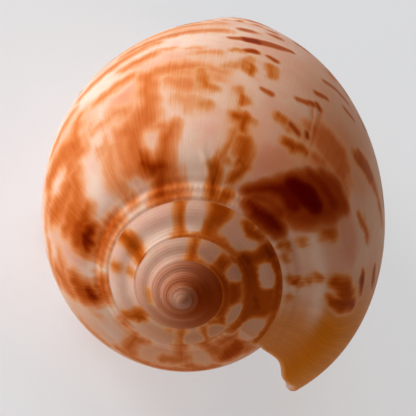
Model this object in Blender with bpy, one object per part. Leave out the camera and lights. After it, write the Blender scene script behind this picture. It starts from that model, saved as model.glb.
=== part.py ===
"""Cone shell with a swollen body whorl, a low stepped spire and a wide open mouth.

The shell is one solid. A profile runs from the suture to the front end, and it turns round
the coiling axis while it grows. Its outer sheet, the wall of the whorl inside the mouth and
the inner sheet of the last whorl are joined along the rim.
"""
import math

import bmesh
import bpy
import numpy as np
from mathutils import Matrix

MM = 0.001

# Coiling
WHORL_GROWTH = 1.58
SPIRE_TURNS = 7
SPIRE_DOMING = 0.94
FRONT_WIDTH_GROWTH = 2.8
FRONT_LENGTH_GROWTH = 0.08
FRONT_GROWTH_BEND = 1.5

# Profile at the lip in mm: distance from the axis, and depth below the apex
SUTURE = (9.6, 6.1)
SUTURE_RIM = (10.3, 6.5)
GROOVE = (11.4, 7.35)
CREST = (13.0, 7.95)
BODY_OUTLINE = [
    (17.7, 13.2), (19.1, 17.0), (20.0, 22.0), (20.2, 29.0), (18.7, 38.0),
    (15.5, 46.5), (11.8, 54.0), (8.4, 59.2), (6.8, 61.0),
]

# Forward reach of the lip in degrees, at the same places along the profile
LIP_REACH = [0, 1, 2, 2, 7, 11, 16, 19, 20, 20, 18, 15, 12, 10]
LIP_REACH_FADE = 80.0

# Uneven growth of the last whorl: degrees behind the lip, and the share it is wider by
SWELL = [
    (-40, 0.03), (0, 0.027), (45, -0.053), (90, -0.038), (135, 0.022), (180, 0.066),
    (225, 0.011), (270, 0.007), (315, -0.016), (360, -0.023), (420, -0.02), (800, -0.02),
]

# Wall and mouth
WALL = 1.4
LIP_WALL = 1.0
LIP_TAPER = 50.0
RIM_ROUNDING = 0.45
MOUTH_TURN = 210.0
MOUTH_CORNER = 4.8
ROOF_START = 0.6
FRONT_DOME = 0.4
PILLAR_OFFSET = 0.5

# Resting pose: turn about the coiling axis, then the lift of the apex end
REST_ROLL = -5.9
APEX_LIFT = 13.4

# Faceting
COLUMNS = 48
RAMP_ROWS = 5
BODY_ROWS = 16
CORNER_ROW = 2


def natural_spline(knots, values, places):
    """Read a natural cubic spline through the values at the given places."""
    knots = np.asarray(knots, float)
    values = np.asarray(values, float)
    count = len(knots)
    gap = np.diff(knots)
    slope = np.diff(values, axis=0) / gap.reshape((-1,) + (1,) * (values.ndim - 1))
    system = np.eye(count)
    right = np.zeros_like(values)
    for i in range(1, count - 1):
        system[i, i - 1:i + 2] = gap[i - 1], 2 * (gap[i - 1] + gap[i]), gap[i]
        right[i] = 6 * (slope[i] - slope[i - 1])
    bend = np.linalg.solve(system, right.reshape(count, -1)).reshape(values.shape)
    places = np.asarray(places, float)
    cell = np.clip(np.searchsorted(knots, places) - 1, 0, count - 2)
    shape = places.shape + (1,) * (values.ndim - 1)
    step = gap[cell].reshape(shape)
    near = (places - knots[cell]).reshape(shape)
    far = step - near
    cubic = (bend[cell] * far ** 3 + bend[cell + 1] * near ** 3) / (6 * step)
    before = (values[cell] / step - bend[cell] * step / 6) * far
    return cubic + before + (values[cell + 1] / step - bend[cell + 1] * step / 6) * near


def ease(x):
    """Rise smoothly from 0 to 1."""
    x = np.clip(x, 0.0, 1.0)
    return x * x * (3 - 2 * x)


def outline_knots():
    """Give the profile's own points and their distances along it."""
    shoulder = (SUTURE[0] * WHORL_GROWTH, SUTURE[1] * WHORL_GROWTH ** SPIRE_DOMING)
    points = np.array([SUTURE, SUTURE_RIM, GROOVE, CREST, shoulder] + BODY_OUTLINE)
    lengths = np.hypot(*np.diff(points, axis=0).T)
    return points, np.concatenate([[0.0], np.cumsum(lengths)])


KNOT_POINTS, KNOT_PLACES = outline_knots()
CREST_PLACE, SHOULDER_PLACE = KNOT_PLACES[3:5]
WIDEST_PLACE = KNOT_PLACES[6]
FRONT_PLACE = KNOT_PLACES[-1]


def swell(angle):
    """Share by which the whorl is wider at a growth angle."""
    degrees = np.clip(-np.degrees(angle), SWELL[0][0], SWELL[-1][0])
    return natural_spline([p[0] for p in SWELL], [p[1] for p in SWELL], degrees)


def lip_reach(place, angle):
    """Forward shift of the growth line, which fades behind the lip."""
    reach = natural_spline(KNOT_PLACES, np.radians(LIP_REACH), place)
    return reach * ease(1 + np.degrees(angle) / LIP_REACH_FADE)


def outer(angle, place):
    """Points of the outer sheet at growth angles and places on the profile."""
    angle, place = np.broadcast_arrays(np.asarray(angle, float), np.asarray(place, float))
    turn = angle + lip_reach(place, angle)
    radius, depth = np.moveaxis(natural_spline(KNOT_PLACES, KNOT_POINTS, place), -1, 0)
    front = ease((place - SHOULDER_PLACE) / (FRONT_PLACE - SHOULDER_PLACE))
    grown = WHORL_GROWTH ** (turn / (2 * math.pi))
    radius = radius * grown ** (1 + (FRONT_WIDTH_GROWTH - 1) * front ** FRONT_GROWTH_BEND)
    depth = depth * grown ** (SPIRE_DOMING + (FRONT_LENGTH_GROWTH - SPIRE_DOMING) * front)
    belly = ease((place - SHOULDER_PLACE) / (WIDEST_PLACE - SHOULDER_PLACE))
    radius = radius * (1 + belly * swell(turn))
    return np.stack([radius * np.cos(turn), -radius * np.sin(turn), -depth], axis=-1)


def directions(angle, place):
    """Outward normal and forward growth direction of the outer sheet."""
    small = 1e-3
    down = outer(angle, place + small) - outer(angle, place - small)
    ahead = outer(angle + small, place) - outer(angle - small, place)
    ahead /= np.linalg.norm(ahead, axis=-1, keepdims=True)
    normal = np.cross(ahead, down)
    return normal / np.linalg.norm(normal, axis=-1, keepdims=True), ahead


def wall(angle):
    """Thickness of the last whorl, thinner at the lip."""
    return LIP_WALL + (WALL - LIP_WALL) * ease(-np.degrees(angle) / LIP_TAPER)


def inner(angle, place):
    """Points of the inner sheet of the last whorl."""
    angle, place = np.broadcast_arrays(np.asarray(angle, float), np.asarray(place, float))
    normal, _ = directions(angle, place)
    return outer(angle, place) - normal * wall(angle)[..., None]


def rim(angle, place, forward):
    """Points along the middle of the wall's edge, standing out to round it."""
    normal, ahead = directions(angle, place)
    middle = outer(angle, place) - normal * wall(angle)[..., None] / 2
    reach = RIM_ROUNDING * wall(angle)[..., None]
    return middle + (ahead if forward else np.array([0.0, 0.0, -1.0])) * reach


class Skin:
    """Collects the points and faces of the shell."""

    def __init__(self):
        self.points = []
        self.faces = []

    def add(self, points):
        """Add points and give an array of their numbers in the same layout."""
        points = np.asarray(points)
        first = len(self.points)
        self.points.extend(points.reshape(-1, 3))
        return np.arange(first, len(self.points)).reshape(points.shape[:-1])

    def face(self, *corners):
        """Add a face without its repeated corners."""
        corners = list(dict.fromkeys(int(c) for c in corners))
        if len(corners) > 2:
            self.faces.append(corners)

    def sheet(self, grid):
        """Join a grid of points with four-cornered faces."""
        for left, right in zip(grid[:-1], grid[1:]):
            for k in range(len(left) - 1):
                self.face(left[k], left[k + 1], right[k + 1], right[k])

    def lace(self, first, second):
        """Join two chains of points whose numbers of points may differ."""
        a, b = 0, 0
        places = [self.spread(chain) for chain in (first, second)]
        while a < len(first) - 1 or b < len(second) - 1:
            ends_a, ends_b = a == len(first) - 1, b == len(second) - 1
            if not ends_a and (ends_b or places[0][a + 1] <= places[1][b + 1]):
                self.face(first[a], first[a + 1], second[b])
                a += 1
            else:
                self.face(first[a], second[b + 1], second[b])
                b += 1

    def spread(self, chain):
        """Share of a chain's length at each of its points."""
        points = np.array([self.points[i] for i in chain])
        lengths = np.linalg.norm(np.diff(points, axis=0), axis=1)
        return np.concatenate([[0.0], np.cumsum(lengths)]) / lengths.sum()

    def fan(self, centre, loop):
        """Close a loop of points round a centre point."""
        for start, end in zip(loop, loop[1:] + loop[:1]):
            self.face(centre, start, end)


def shell_skin():
    """Build the whole surface of the shell in mm, with the apex at the origin."""
    skin = Skin()
    step = 2 * math.pi / COLUMNS
    spire_columns = COLUMNS * SPIRE_TURNS
    mouth_columns = round(MOUTH_TURN / 360 * COLUMNS)

    # Ramps of the spire and of the last whorl, whose outer edges are the next suture
    ramp_places = np.linspace(0, SHOULDER_PLACE, RAMP_ROWS + 1)
    angles = -step * np.arange(spire_columns + 1)
    ramp = np.zeros((spire_columns + 1, RAMP_ROWS + 1), int)
    ramp[:, :-1] = skin.add(outer(angles[:, None], ramp_places[None, :-1]))

    # Last whorl below the shoulder, and on round as the wall inside the mouth
    corner_places = SHOULDER_PLACE + MOUTH_CORNER * np.arange(CORNER_ROW + 1) / CORNER_ROW
    front_rows = BODY_ROWS - CORNER_ROW
    front_places = np.linspace(corner_places[-1], FRONT_PLACE, front_rows + 1)[1:]
    body_places = np.concatenate([corner_places, front_places])
    body_angles = -step * np.arange(COLUMNS + mouth_columns + 1)
    body = skin.add(outer(body_angles[:, None], body_places[None, :]))
    body[COLUMNS, 0] = ramp[0, 0]
    ramp[:COLUMNS, -1] = body[:COLUMNS, 0]
    ramp[COLUMNS:, -1] = ramp[:spire_columns + 1 - COLUMNS, 0]
    skin.sheet(ramp)
    skin.sheet(body[:COLUMNS + 1])
    skin.sheet(body[COLUMNS:, CORNER_ROW:])

    # Tip of the spire
    start = spire_columns - COLUMNS
    loop = list(ramp[start:, 0]) + list(ramp[-1, 1:-1])
    tip_depth = skin.points[ramp[-1, 0]][2] / 2
    skin.fan(skin.add([0.0, 0.0, tip_depth]).item(), loop)

    # Inner sheet of the last whorl, which meets the mouth's wall in a corner
    roof_places = np.linspace(CREST_PLACE + ROOF_START, FRONT_PLACE, BODY_ROWS + 1)
    mouth_angles = body_angles[:mouth_columns + 1]
    lining = np.zeros((mouth_columns + 1, BODY_ROWS + 2), int)
    lining[:, 0] = body[COLUMNS:, CORNER_ROW]
    lining[:, 1:] = skin.add(inner(mouth_angles[:, None], roof_places[None, :]))
    skin.sheet(lining)
    skin.lace(lining[-1], body[-1, CORNER_ROW:])

    # Rounded edge of the lip, from the suture to the front end
    edge_places = np.concatenate([ramp_places[2:-1], body_places])
    edge = list(skin.add(rim(np.zeros_like(edge_places), edge_places, True)))
    edge = [body[COLUMNS, 1]] + edge
    skin.lace(list(ramp[0, :-1]) + list(body[0]), edge)
    skin.lace(edge, lining[0])

    # Rounded edge of the front end, and the end of the pillar
    front_edge = rim(mouth_angles[1:], np.full(mouth_columns, FRONT_PLACE), False)
    front_edge = [edge[-1]] + list(skin.add(front_edge))
    skin.lace(body[:mouth_columns + 1, -1], front_edge)
    skin.lace(front_edge, lining[:, -1])
    loop = list(body[mouth_columns:, -1]) + [lining[-1, -1], front_edge[-1]]
    depth = skin.points[body[COLUMNS, -1]][2] - FRONT_DOME
    aside = mouth_angles[-1] - math.pi / 2
    middle = [PILLAR_OFFSET * math.cos(aside), -PILLAR_OFFSET * math.sin(aside), depth]
    skin.fan(skin.add(middle).item(), loop)
    return skin


def resting():
    """Turn the coiled shell into its resting pose."""
    roll = Matrix.Rotation(math.radians(REST_ROLL), 3, "Z")
    lay = Matrix.Rotation(math.radians(90 - APEX_LIFT), 3, "X")
    return lay @ roll


def shell_material():
    """Glossy orange and cream shell."""
    material = bpy.data.materials.new("shell")
    material.use_nodes = True
    surface = material.node_tree.nodes["Principled BSDF"]
    surface.inputs["Base Color"].default_value = (0.78, 0.42, 0.25, 1.0)
    surface.inputs["Roughness"].default_value = 0.25
    surface.inputs["Metallic"].default_value = 0.0
    return material


def make_shell():
    """Make the shell's mesh object, standing on the ground under its middle."""
    skin = shell_skin()
    points = np.array(skin.points) @ np.array(resting()).T
    low, high = points.min(axis=0), points.max(axis=0)
    points -= np.array([(low[0] + high[0]) / 2, (low[1] + high[1]) / 2, low[2]])
    mesh = bpy.data.meshes.new("shell")
    mesh.from_pydata((points * MM).tolist(), [], skin.faces)
    form = bmesh.new()
    form.from_mesh(mesh)
    loose = [v for v in form.verts if not v.link_faces]
    bmesh.ops.delete(form, geom=loose, context="VERTS")
    bmesh.ops.recalc_face_normals(form, faces=form.faces)
    bmesh.ops.triangulate(form, faces=form.faces)
    form.to_mesh(mesh)
    form.free()
    mesh.shade_smooth()
    shell = bpy.data.objects.new("shell", mesh)
    shell.data.materials.append(shell_material())
    bpy.context.scene.collection.objects.link(shell)
    return shell


for old in list(bpy.data.objects):
    bpy.data.objects.remove(old, do_unlink=True)
make_shell()
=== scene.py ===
"""Looks of the cone shell: its fine relief, its pattern, its glaze, and a plain pale studio."""
import math

import bmesh
import bpy
import numpy as np
from mathutils import Matrix, Vector


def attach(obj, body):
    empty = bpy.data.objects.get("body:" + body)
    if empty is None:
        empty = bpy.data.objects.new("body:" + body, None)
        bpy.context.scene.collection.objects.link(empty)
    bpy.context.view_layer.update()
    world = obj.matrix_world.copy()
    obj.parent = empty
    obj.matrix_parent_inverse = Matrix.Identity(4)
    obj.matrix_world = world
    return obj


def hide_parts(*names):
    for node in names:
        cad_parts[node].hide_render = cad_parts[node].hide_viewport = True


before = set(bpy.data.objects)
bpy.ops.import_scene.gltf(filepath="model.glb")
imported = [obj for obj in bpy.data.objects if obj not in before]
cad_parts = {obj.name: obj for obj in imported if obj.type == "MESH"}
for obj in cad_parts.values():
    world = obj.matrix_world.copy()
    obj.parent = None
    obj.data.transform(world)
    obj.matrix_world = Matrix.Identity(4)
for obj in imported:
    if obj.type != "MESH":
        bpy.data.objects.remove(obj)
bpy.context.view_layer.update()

MM = 0.001

# Coiling, as in the solid
WHORL_GROWTH = 1.58
SPIRE_TURNS = 7
SPIRE_DOMING = 0.94
FRONT_WIDTH_GROWTH = 2.8
FRONT_LENGTH_GROWTH = 0.08
FRONT_GROWTH_BEND = 1.5

# Profile at the lip in mm: distance from the axis, and depth below the apex
SUTURE = (9.6, 6.1)
SUTURE_RIM = (10.3, 6.5)
GROOVE = (11.4, 7.35)
CREST = (13.0, 7.95)
BODY_OUTLINE = [
    (17.7, 13.2), (19.1, 17.0), (20.0, 22.0), (20.2, 29.0), (18.7, 38.0),
    (15.5, 46.5), (11.8, 54.0), (8.4, 59.2), (6.8, 61.0),
]

# Forward reach of the lip in degrees, at the same places along the profile
LIP_REACH = [0, 1, 2, 2, 7, 11, 16, 19, 20, 20, 18, 15, 12, 10]
LIP_REACH_FADE = 80.0

# Uneven growth of the last whorl: degrees behind the lip, and the share it is wider by
SWELL = [
    (-40, 0.03), (0, 0.027), (45, -0.053), (90, -0.038), (135, 0.022), (180, 0.066),
    (225, 0.011), (270, 0.007), (315, -0.016), (360, -0.023), (420, -0.02), (800, -0.02),
]

# Wall and mouth
WALL = 1.4
LIP_WALL = 1.0
LIP_TAPER = 50.0
RIM_ROUNDING = 0.45
RIM_START = (-1.05, 1.95)
MOUTH_TURN = 210.0
MOUTH_CORNER = 4.8
ROOF_START = 0.6
FRONT_DOME = 0.4
PILLAR_OFFSET = 0.5

# Resting pose: turn about the coiling axis, then the lift of the apex end
REST_ROLL = -5.9
APEX_LIFT = 13.4

# Ridges and scars across the whorl: where each starts and ends (degrees behind the lip, place),
# its half width in degrees, and its height in mm
RIDGES = [
    ((129.0, 5.6), (122.0, 2.4), 1.6, 0.12),
    ((126.0, 5.2), (119.5, 2.0), 1.2, -0.04),
    ((93.4, 18.0), (91.0, 12.6), 0.5, -0.07),
    ((90.8, 19.0), (89.0, 13.0), 0.5, -0.07),
    ((92.2, 18.6), (90.0, 12.8), 0.5, 0.06),
    ((77.0, 20.0), (72.0, 13.0), 0.7, 0.06),
    ((163.0, 6.0), (163.5, 1.0), 0.8, 0.05),
    ((31.0, 9.0), (28.0, 1.0), 2.0, 0.06),
]
RIDGE_FADE = 0.62

# Where the earlier whorls begin, and where their relief comes in, in degrees behind the lip
SPIRE_START = 361
SPIRE_RELIEF = (330, 390)

# Spiral grooves of the spire in mm at the size of the lip, and how they widen and deepen with
# each turn between two turns
GROOVE_SPACING = 0.62
GROOVE_DEPTH = 0.022
GROOVE_WIDENING = 1.45
GROOVE_DEEPENING = 2.2
GROOVE_TURNS = (1.5, 5.0)

# Steps of the spire, and the bands of their foot and top: place on the profile, and half width
STEP = 0.05
STEP_FOOT = (1.5, 1.0)
STEP_TOP = (4.6, 1.3)

# Cords by the suture: place, half width, height, and height of their beads
RIM_CORD = (0.42, 0.22, 0.08, 0.05)
CORDS = [(1.45, 0.25, 0.07, 0.07), (2.1, 0.25, -0.07, 0.0), (2.85, 0.3, 0.05, 0.0)]
CORD_START = 0.5
CORD_FADE = (3.2, 4.4)
HALF_BEAD = 1.5

# Where the relief ends inside the mouth, in degrees behind the lip
INSIDE_START = (361, 369)

# Fineness of the mesh: columns and rows of each turn's ramp, from the last whorl to the tip
RAMP_COLUMNS = [480, 360, 240, 160, 120, 80, 64]
RAMP_ROWS = [28, 44, 34, 26, 18, 12, 8]
RAMP_CROWDING = 1.15
MOUTH_COLUMN_STEP = 4
BODY_BANDS = [(30.0, 66), (50.0, 12), (None, 12)]
LINING_ROWS = 44
RIM_TURNS = 4
EDGE_START = 1.5
MOUTH_FADE = 25.0
TIP_RING = 0.6
SHARP_ANGLE = 50

# Camera of the photograph: its frame, the apex in it, and how the shell is turned to it
PHOTO_SIZE = 416
APEX_PIXEL = (181.6, 302.6)
PIXELS_PER_MM = 10.76
CAMERA_DISTANCE = 350.0
AXIS_TILT = 26.24
AXIS_HEADING = 79.6
LIP_HEADING = -46.1
SENSOR = 36.0


def natural_spline(knots, values, places):
    """Read a natural cubic spline through the values at the given places."""
    knots = np.asarray(knots, float)
    values = np.asarray(values, float)
    count = len(knots)
    gap = np.diff(knots)
    slope = np.diff(values, axis=0) / gap.reshape((-1,) + (1,) * (values.ndim - 1))
    system = np.eye(count)
    right = np.zeros_like(values)
    for i in range(1, count - 1):
        system[i, i - 1:i + 2] = gap[i - 1], 2 * (gap[i - 1] + gap[i]), gap[i]
        right[i] = 6 * (slope[i] - slope[i - 1])
    bend = np.linalg.solve(system, right.reshape(count, -1)).reshape(values.shape)
    places = np.asarray(places, float)
    cell = np.clip(np.searchsorted(knots, places) - 1, 0, count - 2)
    shape = places.shape + (1,) * (values.ndim - 1)
    step = gap[cell].reshape(shape)
    near = (places - knots[cell]).reshape(shape)
    far = step - near
    cubic = (bend[cell] * far ** 3 + bend[cell + 1] * near ** 3) / (6 * step)
    before = (values[cell] / step - bend[cell] * step / 6) * far
    return cubic + before + (values[cell + 1] / step - bend[cell + 1] * step / 6) * near


def ease(x):
    """Rise smoothly from 0 to 1."""
    x = np.clip(x, 0.0, 1.0)
    return x * x * (3 - 2 * x)


def rise(x, low, high):
    """Rise smoothly from 0 at low to 1 at high."""
    return ease((x - low) / (high - low))


def outline_knots():
    """Give the profile's own points and their distances along it."""
    shoulder = (SUTURE[0] * WHORL_GROWTH, SUTURE[1] * WHORL_GROWTH ** SPIRE_DOMING)
    points = np.array([SUTURE, SUTURE_RIM, GROOVE, CREST, shoulder] + BODY_OUTLINE)
    lengths = np.hypot(*np.diff(points, axis=0).T)
    return points, np.concatenate([[0.0], np.cumsum(lengths)])


KNOT_POINTS, KNOT_PLACES = outline_knots()
CREST_PLACE, SHOULDER_PLACE = KNOT_PLACES[3:5]
WIDEST_PLACE = KNOT_PLACES[6]
FRONT_PLACE = KNOT_PLACES[-1]


def swell(angle):
    """Share by which the whorl is wider at a growth angle."""
    degrees = np.clip(-np.degrees(angle), SWELL[0][0], SWELL[-1][0])
    return natural_spline([p[0] for p in SWELL], [p[1] for p in SWELL], degrees)


def lip_reach(place, angle):
    """Forward shift of the growth line, which fades behind the lip."""
    reach = natural_spline(KNOT_PLACES, np.radians(LIP_REACH), place)
    return reach * ease(1 + np.degrees(angle) / LIP_REACH_FADE)


def outer(angle, place):
    """Points of the outer sheet at growth angles and places on the profile."""
    angle, place = np.broadcast_arrays(np.asarray(angle, float), np.asarray(place, float))
    turn = angle + lip_reach(place, angle)
    radius, depth = np.moveaxis(natural_spline(KNOT_PLACES, KNOT_POINTS, place), -1, 0)
    front = ease((place - SHOULDER_PLACE) / (FRONT_PLACE - SHOULDER_PLACE))
    grown = WHORL_GROWTH ** (turn / (2 * math.pi))
    radius = radius * grown ** (1 + (FRONT_WIDTH_GROWTH - 1) * front ** FRONT_GROWTH_BEND)
    depth = depth * grown ** (SPIRE_DOMING + (FRONT_LENGTH_GROWTH - SPIRE_DOMING) * front)
    belly = ease((place - SHOULDER_PLACE) / (WIDEST_PLACE - SHOULDER_PLACE))
    radius = radius * (1 + belly * swell(turn))
    return np.stack([radius * np.cos(turn), -radius * np.sin(turn), -depth], axis=-1)


def directions(angle, place):
    """Outward normal and forward growth direction of the outer sheet."""
    small = 1e-3
    down = outer(angle, place + small) - outer(angle, place - small)
    ahead = outer(angle + small, place) - outer(angle - small, place)
    ahead /= np.linalg.norm(ahead, axis=-1, keepdims=True)
    normal = np.cross(ahead, down)
    return normal / np.linalg.norm(normal, axis=-1, keepdims=True), ahead


def wall(angle):
    """Thickness of the last whorl, thinner at the lip."""
    return LIP_WALL + (WALL - LIP_WALL) * ease(-np.degrees(angle) / LIP_TAPER)


def band(x, centre, half_width):
    """Smooth hump of height 1 around a centre."""
    return np.exp(-((x - centre) / half_width) ** 2)


def relief(angle, place):
    """Height of the fine relief above the plain whorl, in mm at the size of the lip."""
    behind = -np.degrees(angle)
    turns = behind / 360
    ramp = ease(place / CORD_START)
    spire = rise(behind, *SPIRE_RELIEF)
    early = np.clip(turns, *GROOVE_TURNS) - GROOVE_TURNS[0]
    spacing = GROOVE_SPACING * GROOVE_WIDENING ** early
    grooves = 0.5 - 0.5 * np.cos(2 * math.pi * place / spacing)
    height = -spire * ramp * grooves * GROOVE_DEPTH * GROOVE_DEEPENING ** early
    height = height + spire * STEP * (band(place, *STEP_TOP) - band(place, *STEP_FOOT))
    beads = 0.5 + 0.5 * np.cos(math.pi * behind / HALF_BEAD)
    cord = (1 - spire) * ramp * (1 - rise(place, *CORD_FADE))
    bands = [(1, RIM_CORD)] + [(cord, spiral) for spiral in CORDS]
    for share, (middle, width, lift, beaded) in bands:
        height = height + share * (lift + beaded * beads) * band(place, middle, width)
    for start, end, width, lift in RIDGES:
        share = np.clip((place - start[1]) / (end[1] - start[1]), 0, 1)
        middle = start[0] + (end[0] - start[0]) * share
        along = band(place, (start[1] + end[1]) / 2, abs(end[1] - start[1]) * RIDGE_FADE)
        height = height + lift * along * band(behind, middle, width)
    inside = rise(behind, *INSIDE_START) * ease((place - SHOULDER_PLACE) / CORD_START)
    return height * (1 - inside)


def outside(angle, place):
    """Points of the outer sheet with its relief."""
    normal, _ = directions(angle, place)
    angle, place = np.broadcast_arrays(angle, place)
    size = WHORL_GROWTH ** (angle / (2 * math.pi))
    return outer(angle, place) + normal * (relief(angle, place) * size)[..., None]


def inner(angle, place):
    """Points of the inner sheet of the last whorl."""
    angle, place = np.broadcast_arrays(np.asarray(angle, float), np.asarray(place, float))
    normal, _ = directions(angle, place)
    return outer(angle, place) - normal * wall(angle)[..., None]


def rim(angle, place, share, forward):
    """Points across the rounded edge of the wall, from its outside at 0 to its inside at 1."""
    normal, ahead = directions(angle, place)
    thick = (wall(angle) * rise(place, *RIM_START))[..., None]
    out = ahead if forward else np.array([0.0, 0.0, -1.0])
    across = outer(angle, place) - normal * thick * (1 - np.cos(math.pi * share)) / 2
    return across + out * thick * RIM_ROUNDING * np.sin(math.pi * share)


class Skin:
    """Collects points, the shell coordinates of face corners, and faces.

    A knot of a grid is a pair: the number of its point and the number of its coordinates.
    """

    def __init__(self):
        self.points = []
        self.coordinates = []
        self.faces = []

    def add(self, points, angle, place, within=0.0):
        """Add points with their coordinates and give their knots in the same layout."""
        points = np.asarray(points, float)
        shape = points.shape[:-1]
        first = sum(len(p) for p in self.points)
        self.points.append(points.reshape(-1, 3))
        number = np.arange(first, first + points[..., 0].size).reshape(shape)
        return np.stack([number, self.place_at(angle, place, within, shape)], axis=-1)

    def place_at(self, angle, place, within, shape):
        """Add shell coordinates: degrees behind the lip, place, and 1 for the inside."""
        cells = [np.broadcast_to(v, shape) for v in (-np.degrees(angle), place, within)]
        cells = np.stack(cells, axis=-1).reshape(-1, 3)
        first = sum(len(c) for c in self.coordinates)
        self.coordinates.append(cells)
        return np.arange(first, first + len(cells)).reshape(shape)

    def again(self, knots, angle, place, within=0.0):
        """Give the same points with other coordinates."""
        numbers = self.place_at(angle, place, within, knots.shape[:-1])
        return np.stack([knots[..., 0], numbers], axis=-1)

    def face(self, *corners):
        """Add a face without its repeated corners."""
        kept = {}
        for corner in corners:
            kept.setdefault(int(corner[0]), (int(corner[0]), int(corner[1])))
        if len(kept) > 2:
            self.faces.append(list(kept.values()))

    def sheet(self, grid):
        """Join a grid of knots with four-cornered faces."""
        corners = np.stack([grid[:-1, :-1], grid[:-1, 1:], grid[1:, 1:], grid[1:, :-1]], 2)
        self.faces.extend(corners.reshape(-1, 4, 2).tolist())

    def lace(self, first, second):
        """Join two chains of knots whose numbers of knots may differ."""
        a, b = 0, 0
        places = [self.spread(chain) for chain in (first, second)]
        while a < len(first) - 1 or b < len(second) - 1:
            ends_a, ends_b = a == len(first) - 1, b == len(second) - 1
            if not ends_a and (ends_b or places[0][a + 1] <= places[1][b + 1]):
                self.face(first[a], first[a + 1], second[b])
                a += 1
            else:
                self.face(first[a], second[b + 1], second[b])
                b += 1

    def positions(self, knots):
        """Places of the points of some knots."""
        return np.concatenate(self.points)[[int(k[0]) for k in knots]]

    def spread(self, chain):
        """Share of a chain's length at each of its knots."""
        lengths = np.linalg.norm(np.diff(self.positions(chain), axis=0), axis=1)
        return np.concatenate([[0.0], np.cumsum(lengths)]) / max(lengths.sum(), 1e-9)

    def fan(self, centre, loop):
        """Close a loop of knots round a centre knot."""
        for start, end in zip(loop, loop[1:] + loop[:1]):
            self.face(centre, start, end)


def body_rows():
    """Places of the rows below the shoulder, closest together where the shell is seen most."""
    rows = [SHOULDER_PLACE]
    for end, count in BODY_BANDS:
        end = FRONT_PLACE if end is None else end
        rows.extend(np.linspace(rows[-1], end, count + 1)[1:])
    return np.array(rows)


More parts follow.
